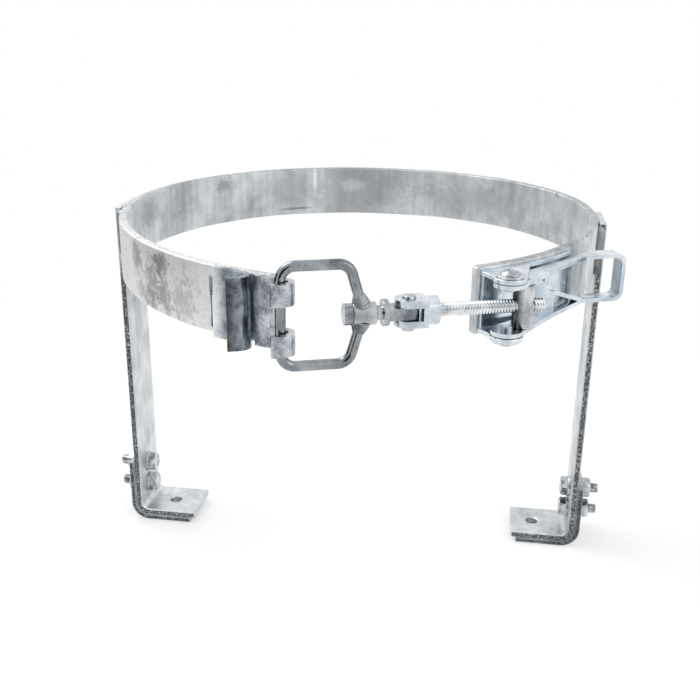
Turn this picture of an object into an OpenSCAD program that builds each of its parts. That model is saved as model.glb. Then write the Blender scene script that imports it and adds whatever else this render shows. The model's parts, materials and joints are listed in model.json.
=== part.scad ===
// Cylinder bracket: a rolled ring on two bolted-down legs, drawn shut by an adjustable toggle latch.
// Millimetres, +Z up. The ring's axis is the Z axis and the origin is on the floor. The legs stand
// near the X axis, a little out of line with each other, and the latch is on the -Y side.

/* [Ring] */
// outer radius of the ring's round back
ring_r = 170; // [168:0.5:172]
// height of the flat bar that the ring and legs are made of
bar_w = 40; // [39:0.5:41]
// thickness of the ring's bar
ring_t = 6; // [5:0.5:7]
// height of the ring's top edge above the floor
top_z = 256; // [240:1:300]
// radius of the ring's front left part, which has sprung open a little
front_left_r = 205; // [202:0.5:208]
// how far the front left part turns, in degrees
front_left_sweep = 68.7; // [68.2:0.1:69.2]
// radius of the ring's front right part
front_right_r = 197; // [196:0.5:198]
// where the front right part ends, in degrees from the X axis towards the front
front_right_end = 53.5; // [53:0.1:54]
// how far the ring's right side lies inside the round back's circle
right_side_in = 4.5; // [4:0.25:5]

/* [Legs] */
// thickness of each leg's bar
leg_t = 5; // [4:0.5:6]
// distance of a leg's top end below the ring's top edge
leg_drop = 2; // [1:0.5:6]
// length of a foot, from the leg's inner face to its end
foot_l = 43; // [38:1:50]
// distance of the left floor bolt's hole from its leg's inner face
left_hole_in = 21; // [20:0.5:27]
// distance of the right floor bolt's hole from its leg's inner face
right_hole_in = 26.5; // [20:0.5:27]
// place of the left leg's middle along Y
left_leg_y = -10.6; // [-12:0.2:-9]
// place of the right leg's middle along Y
right_leg_y = 3.8; // [2:0.2:5]
// radius of the floor bolt's hole
foot_hole_r = 4.5; // [3.5:0.25:5.5]
// thickness of the angle under and behind each foot
angle_t = 4; // [3:0.5:5]
// height of that angle's upright flange
angle_h = 50; // [50:1:60]

/* [Leg bolts] */
// nominal radius of the bolts that hold the angles
bolt_r = 4; // [3:0.5:4]
// height of the lower bolt above the floor
bolt_low_z = 24; // [23:0.5:24]
// distance between the two bolts of one leg
bolt_gap = 18; // [17:0.5:18.5]
// width across the flats of the bolt heads and nuts
hex_af = 13; // [11:0.5:13]
// how far a bolt's thread stands out beyond its nut
thread_out = 6; // [3:0.5:9]

/* [Catch] */
// thickness of the two catch plates
catch_t = 3.5; // [3:0.25:4]
// radius of the space inside each hook's curl
hook_r = 4.4; // [4.3:0.1:4.6]
// height of each of the two bail hooks
tab_h = 12; // [10:0.5:13]
// distance of the reach hook's curl behind the ring's left end
reach_back = 18; // [18:0.5:20]

/* [Bail] */
// radius of the bail's round wire
wire_r = 3; // [2.75:0.05:3.1]
// height of the bail between the centre lines of its top and bottom wires
bail_h = 56; // [54:1:60]

/* [Lever] */
// outer height of the lever's channel
lever_h = 30; // [29:0.5:30.5]
// thickness of the lever's plate
lever_t = 2.5; // [2:0.25:3]
// distance of the trunnion from the lever's pivot
throw = 11; // [10.75:0.05:11.25]
// thickness of the latch base's plate
base_t = 2.5; // [2:0.25:2.5]

/* [Rod] */
// nominal radius of the threaded rod
rod_r = 4; // [3.5:0.1:4]
// length of rod beyond the trunnion
rod_tip = 12.2; // [10:0.5:13]

/* [Hidden] */
$fn = 96;
// facets of the ring's large circles
ring_fn = 720;
// small overlap that lets a cut pass through a face
eps = 0.5;
// running clearance between a pin and its hole, per side
run = 0.06;

// height of the ring's lower edge and of its middle, where the latch works
low_z = top_z - bar_w;
mid_z = top_z - bar_w / 2;
// where the sprung front left part leaves the round back
left_start = 185;
// radius of the shoulder between the round back and the front right part
shoulder_r = 130;
// the ring's parts differ in radius by this hair, so that their faces step and don't graze
hair = 0.05;

// a point at radius r and angle a
function pol(r, a) = [r * cos(a), r * sin(a)];
// direction of the line from p to q
function heading(p, q) = atan2(q[1] - p[1], q[0] - p[0]);
// where a line from point p touches a circle with centre c and radius r; side is 1 or -1
function touch(p, c, r, side) = c + pol(r - hair, heading(c, p) + side * acos((r - hair) / norm(p - c)));
// angle at the first corner of a triangle, between its sides a and b, facing its side c
function corner_a(a, b, c) = acos((a * a + b * b - c * c) / (2 * a * b));
// corners of a fan from angle a0 to a1, for cutting a sector out of a ring
function fan(r, a0, a1) = concat([[0, 0]], [for (i = [0:6]) pol(r, a0 + (a1 - a0) * i / 6)]);

// inner face of each leg, measured from the ring's axis
left_face = ring_r;
right_face = ring_r - right_side_in;
// centres of the front parts and of the shoulder, which touches its two neighbours from inside
left_c = pol(ring_r - front_left_r, left_start);
right_c = [right_face - front_right_r, 2.7];
shoulder_a = heading([0, 0], right_c)
    - corner_a(ring_r - shoulder_r, norm(right_c), front_right_r - shoulder_r);
shoulder_c = pol(ring_r - shoulder_r, shoulder_a);
right_start = heading(right_c, shoulder_c);
left_end_a = left_start + front_left_sweep;
right_end_a = -front_right_end;
// the ring's two free ends, on its outer face
left_end = left_c + pol(front_left_r, left_end_a);
right_end = right_c + pol(front_right_r, right_end_a);

// bail hooks: the curl's centre stands off the end of the ring
curl_off = catch_t + hook_r;
curl_past = 9;
hook_c = left_end + pol(curl_off, left_end_a) + pol(curl_past, left_end_a + 90);
reach_c = left_end + pol(curl_off, left_end_a) + pol(-reach_back, left_end_a + 90);

// lever pivot, above the ring's right end
pivot_off = 17.1;
pivot_in = 9.4;
pivot = right_end + pol(pivot_off, right_end_a) + pol(pivot_in, right_end_a + 90);
// the lever's own direction when it is shut, and where the trunnion sits on it
lever_a = right_end_a + 90 + 22.1;
trunnion_side = 19;
trunnion_c = pivot + pol(throw, lever_a - trunnion_side);
// the rod runs straight from the bail's wire to the trunnion
rod_a = heading(hook_c, trunnion_c);
// that line's length, rounded so that the wire's bends meet exactly
reach_l = round(norm(trunnion_c - hook_c) * 100) / 100;

// lever, measured from its pivot: X runs towards the grip and Y towards the ring
lever_nose = 9;
near_bend = [45, -5];
near_kink = [82, -5];
far_bend = [46, 2.2];
far_x = 60;
far_y = 0.4;
grip_l = 27;
grip_a = -36.5;
grip_w = 11;
grip_round = 6;
lever_in = lever_h / 2 - lever_t;
web_x0 = 24;
web_x1 = 52;
ramp_x = 84;
// latch base
base_play = 0.5;
base_h = lever_h + 2 * base_play + 2 * base_t;
base_a0 = 0.7;
base_a1 = 23;
ear_r = 9.5;
ear_back = -38;
// pivot rivets
rivet_r = 3.5;
rivet_head_r = 6;
rivet_head_h = 3;
rivet_tail = 2.5;
washer_t = 1.4;
// trunnion
trunnion_r = 6;
trunnion_pin_r = 3;
trunnion_play = 0.3;

// places along the rod, measured from the trunnion towards the bail; the rod takes up the length
bail_l = 45.37;
bail_x = reach_l - bail_l;
fork_pin_x = bail_x - 25;
fork_slot_x = fork_pin_x - 6.6;
fork_x0 = fork_pin_x - 16.1;
fork_r = 8;
fork_h = 15;
slot_play = 0.3;
tang_t = 6.8;
tang_r = 6;
pin_r = 3;
collar_x0 = bail_x - 13.2;
collar_x1 = bail_x - 10;
collar_r = 7.5;
barrel_x0 = bail_x - 6.5;
barrel_x1 = bail_x + 6.5;
barrel_r = 6.3;
shank_r = 4;
head_x1 = bail_x + 11.3;
head_r = 6;
// bail: its near side leans out towards the barrel, 7 across for 24 up
lean_sin = 0.28;
lean_cos = 0.96;
bail_lean = asin(lean_sin);
near_round = 8;
far_round = 8;
bail_z = bail_h / 2;
bail_bow = 14.16;
lean_l = 23;

// one bent piece of bar, seen from the front: an upright, a foot towards -X and a bend between them
module bent_bar(inner_x, t, r_in, z0, z1, foot_end) {
    outer_x = inner_x + t;
    r_out = r_in + t;
    translate([inner_x, z0 + r_out]) square([t, z1 - z0 - r_out]);
    translate([foot_end, z0]) square([outer_x - r_out - foot_end, t]);
    intersection() {
        translate([outer_x - r_out, z0]) square([r_out, r_out]);
        translate([outer_x - r_out, z0 + r_out]) difference() {
            circle(r_out);
            circle(r_in);
        }
    }
}

// stands a profile drawn in X and Z upright, as wide as the bar
module upright(width) {
    rotate([90, 0, 0]) linear_extrude(width, center = true) children();
}

// the frames of the two legs: X runs outwards from the ring's axis through the leg's middle
module at_right_side() {
    translate([0, right_leg_y, 0]) children();
}

module at_left_side() {
    translate([0, left_leg_y, 0]) rotate([0, 0, 180]) children();
}

// both bolts of a leg whose inner face stands at a given distance
module at_leg_bolts(face) {
    for (z = [bolt_low_z, bolt_low_z + bolt_gap])
        translate([face, 0, z]) rotate([0, 90, 0]) children();
}

// a sector of a flat ring
module sector(centre, r0, r1, a0, a1) {
    translate(centre) intersection() {
        difference() {
            circle(r1, $fn = ring_fn);
            circle(r0, $fn = ring_fn);
        }
        polygon(fan(2 * r1, a0, a1));
    }
}

// plan of the ring: round back, shoulder and the two front parts, which overlap by a little
module ring_plan() {
    lap = 0.3;
    sector([0, 0], ring_r - ring_t - hair, ring_r - hair, shoulder_a - lap, left_start + lap);
    sector(shoulder_c, shoulder_r - ring_t + hair, shoulder_r + hair, right_start - lap, shoulder_a + lap);
    sector(left_c, front_left_r - ring_t, front_left_r, left_start - lap, left_end_a);
    sector(right_c, front_right_r - ring_t, front_right_r, right_end_a, right_start + lap);
}

module ring() {
    color("Silver") translate([0, 0, low_z]) linear_extrude(bar_w) ring_plan();
}

module leg(face, hole_in) {
    difference() {
        upright(bar_w) bent_bar(face, leg_t, 5, angle_t, top_z - leg_drop, face - foot_l);
        translate([face - hole_in, 0, 0]) cylinder(h = 30, r = foot_hole_r);
        at_leg_bolts(face) translate([0, 0, -eps]) cylinder(h = leg_t + 2 * eps, r = bolt_r + 0.4);
    }
}

module right_leg() {
    color("Gainsboro") at_right_side() leg(right_face, right_hole_in);
}

module left_leg() {
    color("Gainsboro") at_left_side() leg(left_face, left_hole_in);
}

module foot_angle(face, hole_in) {
    difference() {
        upright(bar_w) bent_bar(face + leg_t, angle_t, 5 + leg_t, 0, angle_h, face - foot_l + 4);
        translate([face - hole_in, 0, -eps]) cylinder(h = 30, r = foot_hole_r);
        at_leg_bolts(face) cylinder(h = leg_t + angle_t + eps, r = bolt_r + 0.4);
    }
}

module right_foot_angle() {
    color("DarkGray") at_right_side() foot_angle(right_face, right_hole_in);
}

module left_foot_angle() {
    color("DarkGray") at_left_side() foot_angle(left_face, left_hole_in);
}

// plan of the upright beads that fill the corners between a leg and the curve of the ring
module leg_weld_plan(face) {
    difference() {
        for (side = [-1, 1])
            translate([face + 0.8, side * bar_w / 2]) circle(4);
        translate([face, -bar_w / 2]) square([leg_t, bar_w]);
    }
}

// stands weld beads at a leg's top, clear of the ring
module at_leg_top() {
    translate([0, 0, low_z + 1]) linear_extrude(bar_w - leg_drop - 2) difference() {
        children();
        ring_plan();
    }
}

module right_leg_welds() {
    color("DimGray") at_leg_top() at_right_side() leg_weld_plan(right_face);
}

module left_leg_welds() {
    color("DimGray") at_leg_top() at_left_side() leg_weld_plan(left_face);
}

// a bolt lies through the leg and the angle with its head inside and its nut outside
module leg_bolt() {
    translate([0, 0, -1.6 - 5.3]) cylinder(h = 5.3, r = hex_af / sqrt(3), $fn = 6);
    translate([0, 0, -1.6]) cylinder(h = 1.6 + leg_t + angle_t + 6.5 + thread_out, r = bolt_r);
}

module leg_bolts() {
    color("LightSteelBlue") {
        at_right_side() at_leg_bolts(right_face) leg_bolt();
        at_left_side() at_leg_bolts(left_face) leg_bolt();
    }
}

module leg_washer() {
    translate([0, 0, -1.6]) difference() {
        cylinder(h = 1.6, r = 8);
        translate([0, 0, -eps]) cylinder(h = 1.6 + 2 * eps, r = bolt_r + 0.2);
    }
}

module leg_washers() {
    color("LightGray") {
        at_right_side() at_leg_bolts(right_face) leg_washer();
        at_left_side() at_leg_bolts(left_face) leg_washer();
    }
}

module leg_nut() {
    translate([0, 0, leg_t + angle_t]) difference() {
        cylinder(h = 6.5, r = hex_af / sqrt(3), $fn = 6);
        translate([0, 0, -eps]) cylinder(h = 6.5 + 2 * eps, r = bolt_r + 0.05);
    }
}

module leg_nuts() {
    color("LightSteelBlue") {
        at_right_side() at_leg_bolts(right_face) leg_nut();
        at_left_side() at_leg_bolts(left_face) leg_nut();
    }
}

// a straight strip that runs into a curl at X = 0; y is its edge nearest to -Y
module strip_plan(length, y) {
    translate([-length, y + hair]) square([length + 0.3, catch_t - 2 * hair]);
}

// plan of a hook: a straight run from the ring's end, a curl round the hook's centre and a short lip
// along the rod's line
module hook_plan(centre, run_l) {
    curl_end = rod_a + 180 - left_end_a;
    lip_l = 6;
    translate(centre) rotate(left_end_a + 90) {
        strip_plan(run_l, hook_r);
        intersection() {
            difference() {
                circle(hook_r + catch_t);
                circle(hook_r);
            }
            polygon(fan(30, curl_end, 90));
        }
        rotate(curl_end + 90) strip_plan(lip_l, -hook_r - catch_t);
    }
}

// plan of a catch plate on the ring's outer face, from one distance behind the end to another
module plate_plan(back0, back1) {
    deg = 180 / PI / front_left_r;
    sector(left_c, front_left_r, front_left_r + catch_t, left_end_a - back0 * deg, left_end_a - back1 * deg);
}

// second catch position, one full-height hook
module reach_hook() {
    color("DarkGray") translate([0, 0, low_z - 0.5]) linear_extrude(bar_w + 1) {
        plate_plan(38, reach_back + 3);
        hook_plan(reach_c, 4);
    }
}

// two curled hooks on one plate, with a window between them for the bail's wire
module bail_hooks() {
    color("SlateGray") translate([0, 0, low_z]) difference() {
        linear_extrude(bar_w) hook_plan(hook_c, curl_past + 9.5);
        translate([left_end[0], left_end[1], tab_h]) rotate([0, 0, left_end_a + 90])
            translate([0.4, -40, 0]) cube([60, 60, bar_w - 2 * tab_h]);
    }
}

// beads along the edges of the catch plates, where they meet the ring
module catch_welds() {
    deg = 180 / PI / front_left_r;
    seam_a = left_end_a - 38 * deg;
    seam = left_c + pol(front_left_r + 1, seam_a);
    color("DimGray") translate([0, 0, low_z + 4]) linear_extrude(bar_w - 8) difference() {
        translate(seam) circle(2.6);
        ring_plan();
        plate_plan(38, reach_back + 3);
    }
}

// the frame of the ring's right end: X runs off the end, Y outwards
module at_right_end() {
    translate([right_end[0], right_end[1], mid_z]) rotate([0, 0, right_end_a - 90]) children();
}

// one ear of the latch base, which holds the lever and runs back along the plate to a point
module ear_plan() {
    ear = [-pivot_in, pivot_off];
    front = [-base_t * 0.7, 11];
    back = [ear_back, -1.5];
    difference() {
        union() {
            polygon([
                [-base_t * 0.7, -6], front, touch(front, ear, ear_r, 1), ear, touch(back, ear, ear_r, -1), back,
                [ear_back, -6]
            ]);
            translate(ear) circle(ear_r);
        }
        translate([0, -front_right_r]) circle(front_right_r, $fn = ring_fn);
        translate(ear) circle(rivet_r);
    }
}

// pressed channel on the ring's right end: a plate that follows the ring, and two ears
module latch_base() {
    color("LightBlue") at_right_end() {
        for (z = [-base_h / 2, base_h / 2 - base_t])
            translate([0, 0, z]) linear_extrude(base_t) ear_plan();
        translate([0, 0, -base_h / 2]) linear_extrude(base_h)
            sector([0, -front_right_r], front_right_r, front_right_r + base_t, 90 + base_a0, 90 + base_a1);
    }
}

// a bead along the base's back edge
module base_welds() {
    color("DimGray") at_right_end() translate([0, 0, -base_h / 2 + 3]) linear_extrude(base_h - 6) difference() {
        translate([0, -front_right_r]) rotate(base_a1 + 90) translate([front_right_r + 0.8, 0]) circle(2.4);
        translate([0, -front_right_r]) circle(front_right_r, $fn = ring_fn);
        sector([0, -front_right_r], front_right_r - 1, front_right_r + base_t, 90 + base_a0, 90 + base_a1);
    }
}

// puts its child at the lever's pivot, at the latch's middle height
module at_pivot(a) {
    translate([pivot[0], pivot[1], mid_z]) rotate([0, 0, a]) children();
}

// the upper and the lower rivet are mirror images
module pair() {
    children();
    mirror([0, 0, 1]) children();
}

// a round-headed rivet through one ear and one lever flange
module rivet() {
    head_z = base_h / 2 + washer_t;
    dome_r = (rivet_head_r * rivet_head_r + rivet_head_h * rivet_head_h) / (2 * rivet_head_h);
    translate([0, 0, lever_in - rivet_tail]) cylinder(h = head_z - lever_in + rivet_tail, r = rivet_r);
    translate([0, 0, head_z]) intersection() {
        translate([0, 0, rivet_head_h - dome_r]) sphere(dome_r);
        cylinder(h = rivet_head_h, r = rivet_head_r);
    }
}

module pivot_rivets() {
    color("LightSteelBlue") at_pivot(0) pair() rivet();
}

module pivot_washers() {
    color("Silver") at_pivot(0) pair() translate([0, 0, base_h / 2]) difference() {
        cylinder(h = washer_t, r = 8);
        translate([0, 0, -eps]) cylinder(h = washer_t + 2 * eps, r = rivet_r);
    }
}

// plan of the lever: rounded nose, long straight edges, then the grip bent away from the ring
module lever_plan() {
    // where the grip's far edge meets the lever's
    back = (far_y - near_kink[1] - grip_w * cos(grip_a)) / sin(grip_a);
    across = near_kink + pol(grip_w, grip_a + 90);
    circle(lever_nose);
    polygon([
        [0, 0], touch(near_bend, [0, 0], lever_nose, -1), near_bend, near_kink,
        near_kink + pol(2 * grip_l, grip_a), across + pol(2 * grip_l, grip_a), across + pol(back, grip_a),
        [far_x, far_y], far_bend, touch(far_bend, [0, 0], lever_nose, 1)
    ]);
}

// side view of the lever's strip along the grip: top flange, rounded end and bottom flange
module lever_side() {
    z = lever_h / 2;
    back = 2 * near_kink[0];
    difference() {
        union() {
            translate([-back, -z]) square([back + grip_l - grip_round, lever_h]);
            translate([grip_l - grip_round - 1, -z + grip_round]) square([grip_round + 1, lever_h - 2 * grip_round]);
            for (side = [-1, 1])
                translate([grip_l - grip_round, side * (z - grip_round)]) circle(grip_round);
        }
        translate([-back - 1, lever_t - z]) square([back + 1 + grip_l - grip_round, lever_h - 2 * lever_t]);
        translate([grip_l - grip_round - 1, -z + grip_round])
            square([grip_round + 1 - lever_t, lever_h - 2 * grip_round]);
        for (side = [-1, 1])
            translate([grip_l - grip_round, side * (z - grip_round)]) circle(grip_round - lever_t);
    }
}

// web between the flanges along the ring's side, with a notch in its end
module lever_web() {
    edge = far_bend[1];
    difference() {
        translate([0, 0, -lever_in - eps]) linear_extrude(2 * (lever_in + eps)) polygon([
            [web_x0, edge + 3], [far_bend[0], edge], [web_x1, edge - 0.8], [web_x1, edge - 0.8 - lever_t],
            [far_bend[0], edge - lever_t], [web_x0, edge + 3 - lever_t]
        ]);
        rotate([90, 0, 0]) linear_extrude(20, center = true)
            polygon([[web_x1 + 2, 5.5], [web_x1 - 9.4, 2.8], [web_x1 - 3.4, -1.3], [web_x1 + 2, -1.6]]);
    }
}

// narrow ramp that rises from the grip's bottom to the end of the web
module lever_ramp() {
    ramp_a = 19.5;
    tip_x = web_x1 + 0.7;
    intersection() {
        translate([0, 0, 0.3 - lever_h / 2]) linear_extrude(lever_h) polygon([
            [tip_x, -0.6], [tip_x + 14, -1.5], [ramp_x - 6.6, near_kink[1] + 0.1], [ramp_x + 1, near_kink[1] + 0.05],
            [ramp_x + 1, far_y - 0.05], [far_x, far_y - 0.05], [tip_x, far_y + 0.8]
        ]);
        translate([ramp_x, 0, -lever_in]) rotate([0, ramp_a, 0])
            translate([-60, -30, -lever_t]) cube([70, 60, lever_t]);
    }
}

module lever() {
    slot_half = 2;
    slot_r = 3;
    color("LightSteelBlue") at_pivot(lever_a) difference() {
        union() {
            intersection() {
                translate([0, 0, -lever_h / 2]) linear_extrude(lever_h) lever_plan();
                translate([near_kink[0], near_kink[1], 0]) rotate([0, 0, grip_a]) rotate([90, 0, 0])
                    linear_extrude(4 * near_kink[0], center = true) lever_side();
            }
            lever_web();
            lever_ramp();
            // pressed button on the web
            translate([web_x1 - 11.4, 1.5, 8.6]) rotate([90, 0, 0]) cylinder(h = 2.45, r = 2.2);
        }
        // pivot holes
        translate([0, 0, -lever_h]) cylinder(h = 2 * lever_h, r = rivet_r + run);
        // trunnion holes
        rotate([0, 0, -trunnion_side]) translate([throw, 0, -lever_h])
            cylinder(h = 2 * lever_h, r = trunnion_pin_r + run);
        // padlock slot in the grip's bottom
        translate([near_kink[0], near_kink[1], -lever_h]) rotate([0, 0, grip_a]) translate([6.6, grip_w / 2, 0]) {
            for (x = [-slot_half, slot_half])
                translate([x, 0, 0]) cylinder(h = lever_h, r = slot_r);
            translate([-slot_half, -slot_r, 0]) cube([2 * slot_half, 2 * slot_r, lever_h]);
        }
    }
}

// the frame of the rod: X runs from the bail to the trunnion, with the trunnion at the origin
module at_trunnion() {
    translate([trunnion_c[0], trunnion_c[1], mid_z]) rotate([0, 0, rod_a]) children();
}

// a cylinder along the rod's line, between two distances from the trunnion towards the bail
module along(x0, x1, r) {
    translate([-x1, 0, 0]) rotate([0, 90, 0]) cylinder(h = x1 - x0, r = r);
}

// upright barrel that turns in the lever; the rod passes through it
module trunnion() {
    color("LightSlateGray") at_trunnion() difference() {
        union() {
            cylinder(h = 2 * (lever_in - trunnion_play), r = trunnion_r, center = true);
            cylinder(h = lever_h - 0.4, r = trunnion_pin_r, center = true);
        }
        along(-trunnion_r - eps, trunnion_r + eps, rod_r);
    }
}

module threaded_rod() {
    color("LightGray") at_trunnion() along(-rod_tip, fork_slot_x - 1, rod_r - run);
}

// square fork with a round root
module fork() {
    color("LightBlue") at_trunnion() difference() {
        union() {
            translate([-fork_pin_x, 0, -fork_h / 2]) cylinder(h = fork_h, r = fork_r);
            translate([-fork_pin_x, -fork_r, -fork_h / 2])
                cube([fork_pin_x - fork_slot_x + 3, 2 * fork_r, fork_h]);
            along(fork_x0, fork_slot_x, fork_r);
        }
        translate([-fork_slot_x - 30, -20, -tang_t / 2 - slot_play]) cube([30, 40, tang_t + 2 * slot_play]);
        translate([-fork_pin_x, 0, -20]) cylinder(h = 40, r = pin_r);
        along(fork_x0 - eps, fork_slot_x - 1, rod_r - run);
    }
}

module clevis_pin() {
    color("Gray") at_trunnion() translate([-fork_pin_x, 0, 0]) {
        translate([0, 0, -fork_h / 2 - washer_t - 1]) cylinder(h = fork_h + washer_t + 2, r = pin_r);
        translate([0, 0, fork_h / 2]) cylinder(h = 1.8, r1 = 4, r2 = 3.4);
        translate([0, 0, -fork_h / 2 - washer_t - 1.8]) cylinder(h = 1.8, r1 = 3.2, r2 = 4.2);
    }
}

module clevis_washer() {
    color("Silver") at_trunnion() translate([-fork_pin_x, 0, -fork_h / 2 - washer_t]) difference() {
        cylinder(h = washer_t, r = 5.2);
        translate([0, 0, -eps]) cylinder(h = washer_t + 2 * eps, r = pin_r);
    }
}

// stud that turns in the barrel: head, shank, collar and flat tang
module swivel_stud() {
    color("SlateGray") at_trunnion() difference() {
        union() {
            along(barrel_x1 + 0.15, head_x1, head_r);
            along(collar_x1 - eps, barrel_x1 + 1, shank_r);
            along(collar_x0, collar_x1, collar_r);
            translate([-fork_pin_x, 0, -tang_t / 2]) cylinder(h = tang_t, r = tang_r);
            translate([-collar_x0 - eps, -tang_r, -tang_t / 2])
                cube([collar_x0 + eps - fork_pin_x, 2 * tang_r, tang_t]);
        }
        translate([-fork_pin_x, 0, -20]) cylinder(h = 40, r = pin_r + run);
    }
}

// sleeve in the bail's near side, with a bore for the stud
module swivel_barrel() {
    color("Silver") at_trunnion() difference() {
        along(barrel_x0, barrel_x1, barrel_r);
        along(barrel_x0 - eps, barrel_x1 + eps, shank_r + run);
    }
}

// a quarter of a ring of wire in the X-Z plane, from one angle to another
module wire_bend(centre, r, a0, a1) {
    translate([centre[0], 0, centre[1]]) rotate([90, 0, 0]) rotate([0, 0, a0])
        rotate_extrude(angle = a1 - a0) translate([r, 0]) circle(wire_r);
}

// a level straight wire, from x0 back to x1 at height z
module wire_along(x0, x1, z) {
    translate([x1, 0, z]) rotate([0, 90, 0]) cylinder(h = x0 - x1, r = wire_r);
}

// one half of the bail, above the rod's line
module bail_half() {
    bend_c = [-bail_x - bail_bow, bail_z - near_round];
    start = bend_c + near_round * [lean_cos, lean_sin];
    foot = start + lean_l * [lean_sin, -lean_cos];
    translate([foot[0], 0, foot[1]]) rotate([0, -bail_lean, 0]) cylinder(h = lean_l, r = wire_r);
    wire_bend(bend_c, near_round, bail_lean, 90);
    wire_along(bend_c[0], far_round - reach_l, bail_z);
    wire_bend([far_round - reach_l, bail_z - far_round], far_round, 90, 180);
    translate([-reach_l, 0, 0]) cylinder(h = bail_z - far_round, r = wire_r);
}

module bail() {
    color("Gray") at_trunnion() difference() {
        union() {
            bail_half();
            mirror([0, 0, 1]) bail_half();
        }
        along(barrel_x0 - 9, barrel_x1 + 9, barrel_r);
    }
}

// beads that hold the wire's ends to the barrel
module bail_welds() {
    color("DimGray") at_trunnion() difference() {
        for (side = [0, 1])
            mirror([0, 0, side]) translate([-bail_x, 0, 0]) rotate([0, -bail_lean, 0])
                translate([0, 0, 4.5]) cylinder(h = 6.5, r1 = 5.6, r2 = wire_r + 0.4);
        along(barrel_x0 - 9, barrel_x1 + 9, barrel_r);
        for (side = [0, 1])
            mirror([0, 0, side]) translate([-bail_x, 0, 0]) rotate([0, -bail_lean, 0])
                cylinder(h = 20, r = wire_r + 0.02);
    }
}

ring();
left_leg();
right_leg();
left_foot_angle();
right_foot_angle();
left_leg_welds();
right_leg_welds();
leg_bolts();
leg_washers();
leg_nuts();
reach_hook();
bail_hooks();
catch_welds();
latch_base();
base_welds();
pivot_rivets();
pivot_washers();
lever();
trunnion();
threaded_rod();
fork();
clevis_pin();
clevis_washer();
swivel_stud();
swivel_barrel();
bail();
bail_welds();
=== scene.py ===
"""Dressed model of a steel bracket that holds one gas cylinder.

A rolled flat-bar ring stands on two bolted legs and is drawn shut by an adjustable toggle latch. The
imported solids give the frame; this script lays eased edges, threads, weld beads and metal finishes over
them. Lengths in the classes are in millimetres and become metres where a mesh is made.
"""

import json
import logging
import math
from dataclasses import dataclass, field
from enum import Enum
from functools import partial
from typing import Any, Callable

import bmesh
import bpy
import numpy as np
from mathutils import Matrix, Vector

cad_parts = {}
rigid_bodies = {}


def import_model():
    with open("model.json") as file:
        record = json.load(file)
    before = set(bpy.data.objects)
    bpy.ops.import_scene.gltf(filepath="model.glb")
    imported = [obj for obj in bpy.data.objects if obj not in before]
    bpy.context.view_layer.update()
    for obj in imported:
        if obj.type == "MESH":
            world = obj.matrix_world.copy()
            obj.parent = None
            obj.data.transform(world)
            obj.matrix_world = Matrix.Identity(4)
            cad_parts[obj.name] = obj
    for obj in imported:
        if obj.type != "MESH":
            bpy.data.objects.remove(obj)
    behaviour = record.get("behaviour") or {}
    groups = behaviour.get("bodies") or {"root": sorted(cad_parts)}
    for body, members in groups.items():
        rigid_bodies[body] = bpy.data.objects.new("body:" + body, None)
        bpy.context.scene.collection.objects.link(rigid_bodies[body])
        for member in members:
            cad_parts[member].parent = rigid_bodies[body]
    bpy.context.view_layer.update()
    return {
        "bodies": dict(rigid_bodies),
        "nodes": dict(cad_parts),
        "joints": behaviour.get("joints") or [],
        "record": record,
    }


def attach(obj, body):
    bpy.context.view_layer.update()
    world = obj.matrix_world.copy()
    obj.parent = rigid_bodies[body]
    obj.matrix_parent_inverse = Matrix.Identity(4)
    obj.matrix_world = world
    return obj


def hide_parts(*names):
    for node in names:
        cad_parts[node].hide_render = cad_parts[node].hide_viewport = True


LOG = logging.getLogger("bracket")
MM = 0.001
TAU = 2 * math.pi

# main sizes of the bracket, in millimetres
RING_R = 170.0
MID_Z = 236.0
TOP_Z = 256.0
LEFT_LEG_Y = -10.6
RIGHT_LEG_Y = 3.8

# kinds of shader node that are used often
NOISE = "ShaderNodeTexNoise"
MATH = "ShaderNodeMath"
VECTOR = "ShaderNodeVectorMath"
REMAP = "ShaderNodeMapRange"
RAMP = "ShaderNodeValToRGB"
MIX = "ShaderNodeMix"

# cells of each pattern per metre, from the real size beside it
CRYSTALS = 140.0  # zinc crystals, 7 mm
DRIFTS = 30.0  # drifts of dull and bright zinc, 33 mm
RUNS = (200.0, 200.0, 16.0)  # upright runs, 5 mm apart and 60 mm long
GRIT = 1300.0  # grit and ash, 0.8 mm
PATCHES = 52.0  # burnt and ashy patches, 19 mm
FLECKS = 560.0  # pits and bare flecks on a cut edge, 2 mm
DIPPED_OUTLINES = 170.0  # ragged outlines of stains and painted light on dipped zinc, 6 mm
PLATED_OUTLINES = 260.0  # ragged outlines of stains and painted light on plated zinc, 4 mm

# distance from the centre of a stain or painted light, in half sizes, where it begins and where it is full
STAIN_OR_LIGHT_BEGINS = 1.2
STAIN_OR_LIGHT_FULL = 0.4

Adder = Callable[..., Any]


def linear(code: str) -> tuple[float, float, float, float]:
    """Turns an sRGB hex colour into linear red, green, blue and alpha.

    Args:
        code: six hex digits, such as "C8CCCE".

    Returns:
        The linear colour with alpha 1.
    """
    srgb = np.array([int(code[i : i + 2], 16) for i in (0, 2, 4)]) / 255
    rgb = np.where(srgb <= 0.04045, srgb / 12.92, ((srgb + 0.055) / 1.055) ** 2.4)
    return (float(rgb[0]), float(rgb[1]), float(rgb[2]), 1.0)


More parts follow.
